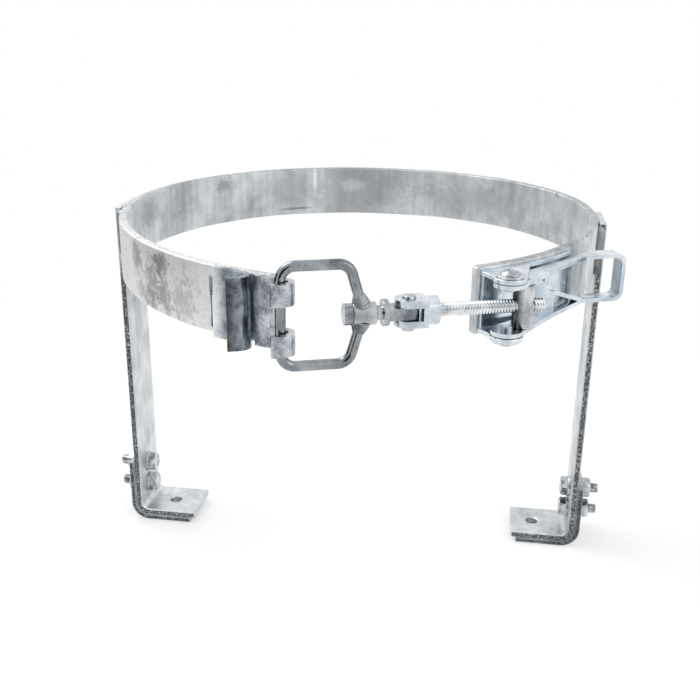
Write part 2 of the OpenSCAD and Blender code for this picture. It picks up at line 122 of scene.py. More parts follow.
def add_node(
    tree: bpy.types.NodeTree,
    kind: str,
    inputs: dict[int | str, Any] | None = None,
    stops: tuple[tuple[float, str], ...] = (),
    **settings: Any,
) -> Any:
    """Adds a node with its settings, values and links.

    Args:
        tree: the node tree.
        kind: Blender's name of the node's type.
        inputs: value or output socket for each input, by name or index.
        stops: position and hex colour of each of a colour ramp's two stops.
        settings: attributes of the node itself.

    Returns:
        The new node.
    """
    made = tree.nodes.new(kind)
    for name, value in settings.items():
        setattr(made, name, value)
    for key, value in (inputs or {}).items():
        if isinstance(value, bpy.types.NodeSocket):
            tree.links.new(value, made.inputs[key])
        else:
            made.inputs[key].default_value = value
    if stops:
        for element, (position, code) in zip(made.color_ramp.elements, stops):
            element.position = position
            element.color = linear(code)
    return made


def start_material(name: str) -> tuple[bpy.types.Material, Adder, Any]:
    """Makes an empty material.

    Args:
        name: its name.

    Returns:
        The material, a function that adds a node to it, and its Object coordinates.
    """
    material = bpy.data.materials.new(name)
    material.use_nodes = True
    material.node_tree.nodes.clear()
    add = partial(add_node, material.node_tree)
    return material, add, add("ShaderNodeTexCoord").outputs["Object"]


def end_metal(add: Adder, colour: Any, rough: Any, bump: Any) -> None:
    """Ends a metal's nodes with its shader and output.

    Args:
        add: adds a node to the material.
        colour: its colour.
        rough: its roughness.
        bump: its bump node.
    """
    shader = add(
        "ShaderNodeBsdfPrincipled",
        {"Base Color": colour, "Metallic": 1.0, "Roughness": rough, "Normal": bump.outputs[0]},
    )
    add("ShaderNodeOutputMaterial", {"Surface": shader.outputs[0]})


@dataclass(frozen=True)
class StainOrPaintedLight:
    """A burnt, dirty or bright place on a finish, or painted light or shade laid the same way: where it is,
    how far it reaches and how strong it is.
    """

    centre: tuple[float, float, float]
    half: tuple[float, float, float]
    colour: str
    strength: float
    ragged: float = 0.5

    def lay(self, add: Adder, place: Any, outlines: Any, colour: Any) -> Any:
        """Mixes the stain or painted light in where the distance from its centre, over its half sizes, is
        small.

        Args:
            add: adds a node to the material.
            place: Object coordinates.
            outlines: noise that makes the outline ragged; its mean is a half.
            colour: colour so far.

        Returns:
            The colour with the stain or painted light.
        """
        centre = tuple(c * MM for c in self.centre)
        half = tuple(h * MM for h in self.half)
        off = add(VECTOR, {0: place, 1: centre}, operation="SUBTRACT").outputs[0]
        off = add(VECTOR, {0: off, 1: half}, operation="DIVIDE").outputs[0]
        far = add(VECTOR, {0: off}, operation="LENGTH").outputs["Value"]
        far = add(MATH, {0: outlines, 1: 4 * self.ragged, 2: far}, operation="MULTIPLY_ADD").outputs[0]
        begins = STAIN_OR_LIGHT_BEGINS + 2 * self.ragged
        full = STAIN_OR_LIGHT_FULL + 2 * self.ragged
        share = add(
            REMAP,
            {"Value": far, "From Min": begins, "From Max": full, "To Min": 0.0, "To Max": self.strength},
        )
        mixed = add(MIX, {0: share.outputs[0], 6: colour, 7: linear(self.colour)}, data_type="RGBA")
        return mixed.outputs[2]


class CutEdge(Enum):
    """The number of the axis that runs from one of a bar's sawn or sheared edges to the other."""

    NONE = None
    ALONG_Y = 1
    ALONG_Z = 2


@dataclass(frozen=True)
class HotDipZinc:
    """Steel bar dipped in molten zinc: mottled silver grey, with runs, dull patches and rough dark edges."""

    name: str
    bright: str = "DDE1E3"
    dull: str = "AEB3B7"
    ash: str = "6E7276"
    edge: CutEdge = CutEdge.NONE
    edge_middle_mm: float = 0.0
    edge_half_mm: float = 20.0
    edge_share: float = 0.92
    edge_top_mm: float = 1000.0
    ash_share: float = 0.10
    roughness: float = 0.40
    stains_and_painted_light: tuple[StainOrPaintedLight, ...] = ()

    def build(self) -> bpy.types.Material:
        """Builds the material's nodes.

        Returns:
            The material.
        """
        material, add, place = start_material(self.name)
        crystals = add("ShaderNodeTexVoronoi", {"Vector": place, "Scale": CRYSTALS, "Randomness": 1.0})
        crystal = add("ShaderNodeSeparateColor", {"Color": crystals.outputs["Color"]}).outputs[0]
        drift = add(NOISE, {"Vector": place, "Scale": DRIFTS, "Detail": 5.0, "Roughness": 0.62}).outputs[0]
        tall = add("ShaderNodeMapping", {"Vector": place, "Scale": RUNS}).outputs[0]
        runs = add(NOISE, {"Vector": tall, "Scale": 1.0, "Detail": 3.0}).outputs[0]
        grit = add(NOISE, {"Vector": place, "Scale": GRIT, "Detail": 2.0}).outputs[0]
        # drifts set the tone, runs streak it and the crystals barely show
        tone: Any = 0.0
        for pattern, weight in ((drift, 0.80), (crystal, 0.035), (runs, 0.30)):
            tone = add(MATH, {0: pattern, 1: weight, 2: tone}, operation="MULTIPLY_ADD").outputs[0]
        body = add(RAMP, {"Fac": tone}, ((0.40, self.dull), (0.66, self.bright))).outputs["Color"]
        colour = self._lay_ash(add, place, body)
        outlines = add(
            NOISE,
            {"Vector": place, "Scale": DIPPED_OUTLINES, "Detail": 9.0, "Roughness": 0.78, "Distortion": 0.5},
        ).outputs[0]
        for stain_or_light in self.stains_and_painted_light:
            colour = stain_or_light.lay(add, place, outlines, colour)
        dullest, brightest = self.roughness + 0.14, self.roughness - 0.06
        rough = add(
            REMAP, {"Value": tone, "From Min": 0.3, "From Max": 0.8, "To Min": dullest, "To Max": brightest}
        ).outputs[0]
        if self.edge is not CutEdge.NONE:
            colour, rough = self._roughen_edge(add, place, grit, colour, rough)
        height = add(MATH, {0: grit, 1: 0.35, 2: drift}, operation="MULTIPLY_ADD").outputs[0]
        bump = add("ShaderNodeBump", {"Height": height, "Strength": 0.35, "Distance": 0.0006})
        end_metal(add, colour, rough, bump)
        return material

    def _lay_ash(self, add: Adder, place: Any, body: Any) -> Any:
        """Mixes in burnt and ashy patches with ragged edges, where a noise passes a level.

        Args:
            add: adds a node to the material.
            place: Object coordinates.
            body: colour so far.

        Returns:
            The colour with the patches.
        """
        patch = add(
            NOISE, {"Vector": place, "Scale": PATCHES, "Detail": 8.0, "Roughness": 0.7, "Distortion": 0.4}
        ).outputs[0]
        level = 0.74 - self.ash_share
        share = add(
            REMAP,
            {"Value": patch, "From Min": level, "From Max": level + 0.07, "To Min": 0.0, "To Max": 0.85},
        )
        return add(MIX, {0: share.outputs[0], 6: body, 7: linear(self.ash)}, data_type="RGBA").outputs[2]

    def _roughen_edge(self, add: Adder, place: Any, grit: Any, colour: Any, rough: Any) -> tuple[Any, Any]:
        """Darkens the bar's cut edges, where the zinc took badly and dirt stays.

        Args:
            add: adds a node to the material.
            place: Object coordinates.
            grit: fine noise.
            colour: colour so far.
            rough: roughness so far.

        Returns:
            Colour and roughness with the edge laid over them.
        """
        spot = add("ShaderNodeSeparateXYZ", {"Vector": place}).outputs
        off = add(MATH, {0: spot[self.edge.value], 1: self.edge_middle_mm * MM}, operation="SUBTRACT")
        off = add(MATH, {0: off.outputs[0]}, operation="ABSOLUTE").outputs[0]
        # only the flat of the edge is dark: its eased corner stays clear
        begins, full = (self.edge_half_mm - 0.20) * MM, (self.edge_half_mm - 0.04) * MM
        near = add(REMAP, {"Value": off, "From Min": begins, "From Max": full})
        clean, dirty = (self.edge_top_mm + 6) * MM, (self.edge_top_mm - 6) * MM
        below = add(REMAP, {"Value": spot["Z"], "From Min": clean, "From Max": dirty})
        fleck = add(NOISE, {"Vector": place, "Scale": FLECKS, "Detail": 5.0, "Roughness": 0.75}).outputs[0]
        dark = add(
            REMAP, {"Value": fleck, "From Min": 0.60, "From Max": 0.49, "To Min": 0.2, "To Max": 1.0}
        )
        share = near.outputs[0]
        for factor in (dark.outputs[0], below.outputs[0], self.edge_share):
            share = add(MATH, {0: share, 1: factor}, operation="MULTIPLY").outputs[0]
        grime = add(RAMP, {"Fac": grit}, ((0.35, "222426"), (0.70, "6A6E72"))).outputs["Color"]
        mixed = add(MIX, {0: share, 6: colour, 7: grime}, data_type="RGBA")
        rougher = add(MIX, {0: share, 2: rough, 3: 0.72}, data_type="FLOAT")
        return mixed.outputs[2], rougher.outputs[0]


@dataclass(frozen=True)
class PlatedSteel:
    """Steel with a thin electroplated zinc coat: smoother than dipped zinc, often with a blue cast."""

    name: str
    light: str = "D6DCE2"
    dark: str = "A2ABB5"
    roughness: float = 0.26
    spread: float = 0.10
    mottle_mm: float = 14.0
    grain: tuple[float, float, float] = (900.0, 900.0, 900.0)
    relief: float = 0.12
    stains_and_painted_light: tuple[StainOrPaintedLight, ...] = ()

    def build(self) -> bpy.types.Material:
        """Builds the material's nodes.

        Returns:
            The material.
        """
        material, add, place = start_material(self.name)
        # clouds left by the passivation bath
        clouds = 1 / (self.mottle_mm * MM)
        cloud = add(
            NOISE, {"Vector": place, "Scale": clouds, "Detail": 6.0, "Roughness": 0.6, "Distortion": 0.3}
        ).outputs[0]
        # rubbed scratches and grain under the coat, drawn a little coarser than real
        lined = add("ShaderNodeMapping", {"Vector": place, "Scale": self.grain}).outputs[0]
        grain = add(NOISE, {"Vector": lined, "Scale": 1.0, "Detail": 3.0}).outputs[0]
        tone = add(MATH, {0: grain, 1: 0.25, 2: cloud}, operation="MULTIPLY_ADD").outputs[0]
        colour = add(RAMP, {"Fac": tone}, ((0.46, self.dark), (0.74, self.light))).outputs["Color"]
        outlines = add(
            NOISE, {"Vector": place, "Scale": PLATED_OUTLINES, "Detail": 9.0, "Roughness": 0.75}
        ).outputs[0]
        for stain_or_light in self.stains_and_painted_light:
            colour = stain_or_light.lay(add, place, outlines, colour)
        dullest, brightest = self.roughness + self.spread, self.roughness - self.spread / 2
        rough = add(
            REMAP, {"Value": tone, "From Min": 0.4, "From Max": 0.8, "To Min": dullest, "To Max": brightest}
        ).outputs[0]
        bump = add("ShaderNodeBump", {"Height": tone, "Strength": self.relief, "Distance": 0.0005})
        end_metal(add, colour, rough, bump)
        return material


# places and half sizes in millimetres: the left front part comes first, then the inner face; the broad
# whitening of the left front part is a painted highlight and the broad greying over the back of the inner
# face is painted shade
RING_STAINS_AND_PAINTED_LIGHT = (
    # painted highlight: whitens the whole left front part
    StainOrPaintedLight((-100, -145, 236), (120, 120, 110), "FDFDFD", 0.88, 0.45),
    StainOrPaintedLight((-124, -127, 244), (8, 8, 12), "85888C", 0.62, 1.1),
    StainOrPaintedLight((-100, -151, 247), (8, 7, 9), "7C7F83", 0.72, 0.9),
    StainOrPaintedLight((-109, -144, 232), (9, 9, 19), "8C8F93", 0.62, 1.6),
    StainOrPaintedLight((-97, -153, 227), (8, 8, 12), "8C8F93", 0.62, 1.6),
    StainOrPaintedLight((-82, -163, 230), (16, 14, 13), "B9BCBE", 0.60, 1.8),
    StainOrPaintedLight((-116, -136, 224), (14, 12, 6), "A4A7AA", 0.50, 1.5),
    # painted shade: this and the next grey the inner face over the middle and left of the back
    StainOrPaintedLight((-25, 162, 238), (46, 20, 36), "9FA2A5", 0.70, 0.35),
    StainOrPaintedLight((-86, 140, 238), (24, 22, 20), "A4A6A9", 0.60, 0.4),
    StainOrPaintedLight((-62.8, 151.5, 247), (2.0, 6, 13), "F2F3F3", 0.85, 0.15),
    StainOrPaintedLight((-78, 144, 221.5), (17, 14, 1.2), "5C5F63", 0.60, 0.1),
    StainOrPaintedLight((-131, 98, 247), (9, 10, 6), "8A8D91", 0.65, 0.8),
    StainOrPaintedLight((-163, 5, 241), (9, 20, 12), "9B9DA0", 0.60, 0.6),
    # painted shade: greys the inner face over the right of the back
    StainOrPaintedLight((78, 144, 236), (60, 40, 15), "A5A8AC", 0.50, 0.8),
    StainOrPaintedLight((-31, 161, 241), (13, 8, 6), "D9DBDD", 0.60, 0.9),
)
CATCH_STAINS_AND_PAINTED_LIGHT = (
    # painted highlight: whitens the plate's left end beside the ring
    StainOrPaintedLight((-62, -184, 236), (9.5, 10, 60), "F2F3F4", 0.90, 0.15),
    # painted dark reflection on the left side of the curl
    StainOrPaintedLight((-49.0, -203.5, 236), (9.5, 8.0, 120), "35302D", 0.90, 0.12),
    # a light blotch in the zinc
    StainOrPaintedLight((-33, -194, 240), (3.5, 6, 12), "C9D1D9", 0.60, 0.8),
)
# painted shade: a dark reflection laid over the trunnion's left half
TRUNNION_PAINTED_SHADE = (StainOrPaintedLight((107.3, -161, 236), (4.2, 7, 90), "3A3C40", 0.88, 0.12),)


@dataclass
class Finishes:
    """Every finish of the bracket, made once and looked up by its key."""

    made: dict[str, bpy.types.Material] = field(default_factory=dict)

    def build(self) -> None:
        """Makes one material for each slot."""
        kinds: dict[str, HotDipZinc | PlatedSteel] = {
            # hot-dip galvanised flat bar: silver drifts, white runs and grey ash
            "ring_galvanising": HotDipZinc(
                "hot_dip_zinc_on_ring",
                edge=CutEdge.ALONG_Z,
                edge_middle_mm=MID_Z,
                edge_half_mm=19.5,
                edge_share=0.40,
                roughness=0.50,
                stains_and_painted_light=RING_STAINS_AND_PAINTED_LIGHT,
            ),
            "left_leg": HotDipZinc(
                "hot_dip_zinc_on_left_leg",
                edge=CutEdge.ALONG_Y,
                edge_middle_mm=LEFT_LEG_Y,
                edge_top_mm=212.0,
                ash_share=0.04,
            ),
            "right_leg": HotDipZinc(
                "hot_dip_zinc_on_right_leg", edge=CutEdge.ALONG_Y, edge_middle_mm=RIGHT_LEG_Y, ash_share=0.04
            ),
            "left_angle": HotDipZinc(
                "hot_dip_zinc_on_left_angle",
                "BFC4C7",
                "8C9195",
                edge=CutEdge.ALONG_Y,
                edge_middle_mm=LEFT_LEG_Y,
            ),
            "right_angle": HotDipZinc(
                "hot_dip_zinc_on_right_angle",
                "BFC4C7",
                "8C9195",
                edge=CutEdge.ALONG_Y,
                edge_middle_mm=RIGHT_LEG_Y,
            ),
            # weld metal under zinc: grey, matt and gritty
            "weld_bead": HotDipZinc(
                "galvanised_weld_bead", "B9BDC0", "74787B", roughness=0.52, ash_share=0.22
            ),
            # zinc-plated M8 fasteners: satin silver
            "bolt_zinc": PlatedSteel("zinc_plated_bolt_steel", "D6DADD", "80858A", 0.13, mottle_mm=5.0),
            "washer_zinc": PlatedSteel("zinc_plated_washer_steel", "DADEE1", "A5ABB0", 0.24),
            # pressed catch plates: blue passivated zinc gone cloudy
            "catch_zinc": PlatedSteel(
                "cloudy_blue_zinc_plate",
                "98A1AA",
                "535B64",
                0.22,
                mottle_mm=7.0,
                relief=0.25,
                stains_and_painted_light=CATCH_STAINS_AND_PAINTED_LIGHT,
            ),
            "hook_zinc": PlatedSteel(
                "grey_zinc_on_hooks", "CBD0D5", "737A82", 0.26, mottle_mm=8.0, relief=0.2
            ),
            # pressed latch: bright blue passivated zinc
            "latch_zinc": PlatedSteel("bright_blue_zinc_plate", "E2E8ED", "B4C0CB", 0.20),
            "rivet_zinc": PlatedSteel("zinc_plated_rivet_steel", "D0D4D8", "8F959C", 0.24),
            "trunnion_steel": PlatedSteel(
                "turned_trunnion_steel", "D5D8DB", "9CA1A7", 0.13, 0.05, relief=0.04, stains_and_painted_light=TRUNNION_PAINTED_SHADE
            ),
            "rod_zinc": PlatedSteel("zinc_plated_thread", "F0F2F4", "C3C8CC", 0.17, 0.05, relief=0.03),
            "fork_zinc": PlatedSteel("bright_zinc_on_fork", "DFE5EA", "AFBAC4", 0.20),
            "stud_steel": PlatedSteel("turned_stud_steel", "B4B8BD", "6E747B", 0.18, relief=0.04),
            "barrel_steel": PlatedSteel("turned_barrel_steel", "C2C4C6", "84888C", 0.22, relief=0.05),
            # dull galvanised wire: grey with drawing marks
            "wire_galvanising": PlatedSteel(
                "dull_galvanised_wire", "A3A8AC", "6A7075", 0.17, mottle_mm=20.0, relief=0.06
            ),
        }
        for slot, finish in kinds.items():
            self.made[slot] = finish.build()

    def lay(self, piece: bpy.types.Object, finish: str, slot: str | None = None) -> None:
        """Lays a finish on a piece.

        Args:
            piece: the object.
            finish: key of the finish.
            slot: the record's slot, where it isn't the finish's key; not used.
        """
        piece.data.materials.clear()
        piece.data.materials.append(self.made[finish])


def arc(centre: tuple[float, float], radius: float, start: float, end: float, step: float) -> np.ndarray:
    """Points, in equal turns, on a circle: centre plus radius times (cos a, sin a).

    Args:
        centre: the circle's centre.
        radius: its radius.
        start: first angle in degrees.
        end: last angle in degrees.
        step: largest turn between points, in degrees.

    Returns:
        Points and outward unit normals side by side, as an N by 4 array.
    """
    count = max(2, int(abs(end - start) / step) + 1)
    a = np.radians(np.linspace(start, end, count))
    normal = np.stack([np.cos(a), np.sin(a)], 1)
    return np.hstack([np.array(centre) + radius * normal, normal])


def rounded_section(width: float, height: float, corner: float) -> np.ndarray:
    """A rectangle with rounded corners, as a closed loop about its middle, corner by quarter circles.

    Args:
        width: size along the first axis.
        height: size along the second axis.
        corner: corner radius.

    Returns:
        Points as an M by 2 array.
    """
    half = np.array([width, height]) / 2 - corner
    quarter = np.radians(np.linspace(0, 90, 6))
    parts = []
    for turn, sign in enumerate(((1, 1), (-1, 1), (-1, -1), (1, -1))):
        a = quarter + turn * math.pi / 2
        parts.append(half * sign + corner * np.stack([np.cos(a), np.sin(a)], 1))
    return np.concatenate(parts)


@dataclass
class Surface:
    """A closed mesh gathered from grids, in millimetres."""

    name: str
    points: list[np.ndarray] = field(default_factory=list)
    faces: list[tuple[int, ...]] = field(default_factory=list)
    count: int = 0

    def add_tube(self, rings: np.ndarray) -> None:
        """Adds rings of points, each joined to the next and round itself, with both ends fanned shut.

        Args:
            rings: N by M by 3 array of points.
        """
        n, m, _ = rings.shape
        base = self.count
        index = base + np.arange(n * m).reshape(n, m)
        right = np.roll(index, -1, axis=1)
        quads = np.stack([index[:-1], right[:-1], right[1:], index[1:]], -1).reshape(-1, 4)
        ends = np.stack([rings[0].mean(0), rings[-1].mean(0)])
        first, last = base + n * m, base + n * m + 1
        fan0 = np.stack([right[0], index[0], np.full(m, first)], -1)
        fan1 = np.stack([index[-1], right[-1], np.full(m, last)], -1)
        self.points += [rings.reshape(-1, 3), ends]
        self.faces += quads.tolist() + fan0.tolist() + fan1.tolist()
        self.count += n * m + 2

    def build(self, sharp_degrees: float = 40.0) -> bpy.types.Object:
        """Makes the object, with smooth shading up to an angle and faces turned outwards.

        Args:
            sharp_degrees: edges that turn more than this stay sharp.

        Returns:
            The object, at the origin.
        """
        mesh = bpy.data.meshes.new(self.name)
        mesh.from_pydata((np.concatenate(self.points) * MM).tolist(), [], self.faces)
        shaped = bmesh.new()
        shaped.from_mesh(mesh)
        bmesh.ops.recalc_face_normals(shaped, faces=shaped.faces)
        shaped.to_mesh(mesh)
        shaped.free()
        mesh.shade_smooth()
        mesh.set_sharp_from_angle(angle=math.radians(sharp_degrees))
        piece = bpy.data.objects.new(self.name, mesh)
        bpy.context.scene.collection.objects.link(piece)
        return piece


def revolve(profile: np.ndarray, turn: np.ndarray, limit: np.ndarray) -> np.ndarray:
    """Rings about the X axis: radius times (cos t, sin t), cut back to a limit at each turn t.

    Args:
        profile: N by 2 array of place along X and radius.
        turn: M angles in radians.
        limit: largest radius at each angle.

    Returns:
        N by M by 3 array of points.
    """
    radius = np.minimum(np.repeat(profile[:, 1:2], len(turn), 1), limit[None, :])
    x = np.repeat(profile[:, 0:1], len(turn), 1)
    return np.stack([x, radius * np.cos(turn), radius * np.sin(turn)], -1)


# points round a thread and along each of its turns
THREAD_ROUND = 48
THREAD_ALONG = 14


def thread_rings(
    x0: float, x1: float, radius: float, pitch: float, depth: float, taper: float = 1.2
) -> np.ndarray:
    """A screw thread about the X axis: the radius follows a rounded V whose phase is x / pitch - turn.

    Args:
        x0: where the thread starts.
        x1: where it ends, which gets a chamfer as the start does.
        radius: crest radius.
        pitch: distance between crests.
        depth: from crest to root.
        taper: length of each end's chamfer.

    Returns:
        N by M by 3 array of points.
    """
    turn = np.linspace(0, TAU, THREAD_ROUND, endpoint=False)
    x = np.linspace(x0, x1, int((x1 - x0) / pitch * THREAD_ALONG) + 2)
    phase = (x[:, None] / pitch - turn[None, :] / TAU) % 1.0
    wave = np.abs(phase - 0.5) * 2
    crest = wave * wave * (3 - 2 * wave)
    from_end = np.minimum(x - x0, x1 - x)[:, None]
    cap = radius - np.clip(taper - from_end, 0, None) * 0.75
    r = np.minimum(radius - depth * (1 - crest), cap)
    return np.stack([np.repeat(x[:, None], len(turn), 1), r * np.cos(turn), r * np.sin(turn)], -1)


def hexagon(across: float, turn: np.ndarray) -> np.ndarray:
    """Distance from the middle of a hexagon to its side at each turn: half the flats over the cosine."""
    off = (turn + math.pi / 6) % (math.pi / 3) - math.pi / 6
    return across / 2 / np.cos(off)


@dataclass(frozen=True)
class Place:
    """A frame on the bracket: an origin and the direction of its X axis, turned about Z."""

    origin: tuple[float, float, float]
    heading: float

    def put(self, points: np.ndarray) -> np.ndarray:
        """Turns local points about Z and moves them to the frame's origin.

        Args:
            points: array whose last axis is X, Y and Z.

        Returns:
            The points in the bracket's frame.
        """
        a = math.radians(self.heading)
        turn = np.array([[math.cos(a), math.sin(a), 0], [-math.sin(a), math.cos(a), 0], [0, 0, 1]])
        return points @ turn + np.array(self.origin)


# the rod's line, from the trunnion's axis, which points away from the bail
ROD = Place((111.883, -156.803, MID_Z), 20.1495)


# node, body, finish, the record's slot where it has another name, and width of the round in millimetres
EASED_PIECES = (
    ("left_leg", "bracket", "left_leg", "leg_galvanising", 1.1),
    ("right_leg", "bracket", "right_leg", "leg_galvanising", 1.1),
    ("left_foot_angle", "bracket", "left_angle", "angle_galvanising", 1.0),
    ("right_foot_angle", "bracket", "right_angle", "angle_galvanising", 1.0),
    ("leg_washers", "bracket", "washer_zinc", None, 0.25),
    ("reach_hook", "bracket", "catch_zinc", None, 0.6),
    ("bail_hooks", "bracket", "hook_zinc", "catch_zinc", 0.5),
    ("latch_base", "bracket", "latch_zinc", None, 0.45),
    ("pivot_rivets", "bracket", "rivet_zinc", None, 0.25),
    ("pivot_washers", "bracket", "washer_zinc", None, 0.25),
    ("lever", "lever", "latch_zinc", None, 0.45),
    ("trunnion", "trunnion", "trunnion_steel", None, 0.4),
    ("fork", "rod", "fork_zinc", None, 0.6),
    ("clevis_pin", "rod", "rivet_zinc", None, 0.3),
    ("clevis_washer", "rod", "washer_zinc", None, 0.25),
    ("swivel_stud", "stud", "stud_steel", None, 0.5),
    ("swivel_barrel", "bail", "barrel_steel", None, 0.5),
)


@dataclass
class EasedPlates:
    """Pressed, sheared or turned pieces whose sharp solid edges get a small round, as deburred steel has."""

    finishes: Finishes
    nodes: dict[str, bpy.types.Object]
    segments: int = 2
    merge_m: float = 2e-6
    flat_degrees: float = 0.6
    sharp_degrees: float = 32.0
    # a wider round than this keeps its width even where neighbouring edges are close
    clamped_below: float = 0.9

    def build(self) -> None:
        """Builds every eased piece in the table's order."""
        for node, body, finish, slot, width in EASED_PIECES:
            self.ease(node, body, finish, slot, width)

    def joined_mesh(self, node: str) -> bpy.types.Mesh:
        """Copies a node's mesh, merges its corners and joins its triangles into flat faces.

        Args:
            node: name of the solid.

        Returns:
            The new mesh.
        """
        source = self.nodes[node].data
        mesh = bpy.data.meshes.new(node + "_eased")
        points = np.zeros(len(source.vertices) * 3, np.float32)
        source.vertices.foreach_get("co", points)
        corners = np.zeros(len(source.loops), np.int32)
        source.loops.foreach_get("vertex_index", corners)
        mesh.from_pydata(points.reshape(-1, 3).tolist(), [], corners.reshape(-1, 3).tolist())
        shaped = bmesh.new()
        shaped.from_mesh(mesh)
        bmesh.ops.remove_doubles(shaped, verts=shaped.verts, dist=self.merge_m)
        bmesh.ops.dissolve_limit(
            shaped,
            angle_limit=math.radians(self.flat_degrees),
            verts=shaped.verts,
            edges=shaped.edges,
            use_dissolve_boundaries=False,
        )
        shaped.to_mesh(mesh)
        shaped.free()
        mesh.shade_smooth()
        mesh.set_sharp_from_angle(angle=math.radians(self.sharp_degrees))
        return mesh

    def ease(self, node: str, body: str, finish: str, slot: str | None, width: float) -> None:
        """Makes a piece of a node with its edges rounded.

        Args:
            node: name of the solid.
            body: body that carries it.
            finish: key of its finish.
            slot: the record's slot, where it isn't the finish's key.
            width: width of the rounding in millimetres.
        """
        piece = bpy.data.objects.new(node + "_eased", self.joined_mesh(node))
        bpy.context.scene.collection.objects.link(piece)
        bevel = piece.modifiers.new("eased_edges", "BEVEL")
        bevel.width = width * MM
        bevel.segments = self.segments
        bevel.limit_method = "ANGLE"
        bevel.angle_limit = math.radians(self.sharp_degrees)
        bevel.use_clamp_overlap = width < self.clamped_below
        even = piece.modifiers.new("flat_faces_stay_flat", "WEIGHTED_NORMAL")
        even.keep_sharp = True
        self.finishes.lay(piece, finish, slot)
        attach(piece, body)
        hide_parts(node)
        LOG.info("piece %s", piece.name)


# centre, radius, first and last angle of each stretch of the ring's outer face, from its left end
RING_STRETCHES = (
    ((34.867, 3.050), 205.0, 253.7, 185.0),  # left front part
    ((0.0, 0.0), RING_R, 185.0, 36.76),  # round back
    ((32.047, 23.941), 130.0, 36.76, 18.48),  # shoulder
    ((-31.5, 2.7), 197.0, 18.48, -53.5),  # right front part
)


@dataclass
class RingBand:
    """The rolled flat bar of the ring: round back, shoulder and two sprung front parts."""

    finishes: Finishes
    thick: float = 6.0
    high: float = 40.0
    corner: float = 1.1
    step_degrees: float = 0.35
    # how far the faces and the edges are drawn in, so that the waves stay within the solid's box
    face_in: float = 0.2
    edge_in: float = 0.15

    def path(self) -> np.ndarray:
        """The bar's outer face in plan, from the left end round the back to the right end.

        Returns:
            Points and outward normals as an N by 4 array.
        """
        parts = [arc(*stretch, self.step_degrees) for stretch in RING_STRETCHES]
        return np.concatenate([parts[0]] + [part[1:] for part in parts[1:]])

    def build(self) -> None:
        """Carries the bar's rounded section along the path.

        The faces wave and the edges sag by sums of two sines of the run. Near an end the section draws in
        by a quarter circle: corner less the root of corner squared minus what is left to it squared.
        """
        line = self.path()
        gap = np.linalg.norm(np.diff(line[:, :2], axis=0), axis=1)
        run = np.concatenate([[0], np.cumsum(gap)])
        section = rounded_section(self.thick, self.high, self.corner)
        left = np.clip(self.corner - np.minimum(run, run[-1] - run), 0, None)
        inset = self.corner - np.sqrt(self.corner**2 - left**2)
        shrink = 1 - 2 * inset / self.thick
        wave = 0.10 * np.sin(run / 23.0) + 0.07 * np.sin(run / 9.1 + 1.3)
        sag = 0.16 * np.sin(run / 31.0 + 0.6) + 0.10 * np.sin(run / 12.7)
        across = section[None, :, 0] * shrink[:, None] - self.thick / 2 + wave[:, None] - self.face_in
        up = section[None, :, 1] - np.sign(section[None, :, 1]) * (inset[:, None] + self.edge_in)
        up = up + np.where(section[None, :, 1] < 0, sag[:, None], 0.4 * sag[:, None])
        rings = np.stack(
            [
                line[:, None, 0] + line[:, None, 2] * across,
                line[:, None, 1] + line[:, None, 3] * across,
                np.broadcast_to(MID_Z + up, across.shape),
            ],
            -1,
        )
        surface = Surface("ring_band")
        surface.add_tube(rings)
        piece = surface.build(50)
        self.finishes.lay(piece, "ring_galvanising")
        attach(piece, "bracket")
        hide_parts("ring")
        LOG.info("piece %s", piece.name)


# place along the bolt and radius, in millimetres: the head ends inwards, the nut outwards
HEAD_PROFILE = (
    (-1.6, 7.5),
    (-1.62, 7.52),
    (-6.0, 7.52),
    (-6.35, 7.15),
    (-6.75, 6.45),
    (-6.9, 5.9),
    (-6.9, 5.2),
    (-6.7, 4.9),
)
NUT_PROFILE = (
    (9.0, 6.0),
    (9.1, 6.4),
    (9.6, 7.3),
    (9.9, 7.52),
    (14.6, 7.52),
    (14.9, 7.3),
    (15.4, 6.4),
    (15.5, 6.0),
    (15.5, 4.5),
    (15.1, 4.0),
)


@dataclass
class LegFastening:
    """Four M8 bolts and nuts that hold the foot angles to the legs."""

    finishes: Finishes
    across: float = 13.0
    pitch: float = 1.25
    thread_r: float = 3.96
    thread_depth: float = 0.7
    thread_from: float = 6.0
    thread_to: float = 21.5
    left_face: float = -170.0
    right_face: float = 165.5
    heights: tuple[float, float] = (24.0, 42.0)
    # how far each bolt happened to be turned, in radians
    leans: tuple[float, ...] = (0.35, 0.9, 0.2, 0.6)

    def places(self) -> list[Place]:
        """The frame of each bolt: on the leg's inner face, with X pointing outwards."""
        right = [Place((self.right_face, RIGHT_LEG_Y, z), 0.0) for z in self.heights]
        left = [Place((self.left_face, LEFT_LEG_Y, z), 180.0) for z in self.heights]
        return left + right

    def build(self) -> None:
        """Builds chamfered heads and nuts and the thread that stands out beyond them."""
        bolts, nuts = Surface("leg_bolts_threaded"), Surface("leg_nuts_chamfered")
        turn = np.linspace(0, TAU, 96, endpoint=False)
        thread = thread_rings(self.thread_from, self.thread_to, self.thread_r, self.pitch, self.thread_depth)
        for place, lean in zip(self.places(), self.leans):
            flats = hexagon(self.across, turn + lean)
            bolts.add_tube(place.put(revolve(np.array(HEAD_PROFILE), turn, flats)))
            bolts.add_tube(place.put(thread))
            nuts.add_tube(place.put(revolve(np.array(NUT_PROFILE), turn, flats)))
        for surface, node in ((bolts, "leg_bolts"), (nuts, "leg_nuts")):
            piece = surface.build(28)
            self.finishes.lay(piece, "bolt_zinc")
            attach(piece, "bracket")
            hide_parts(node)
            LOG.info("piece %s", piece.name)


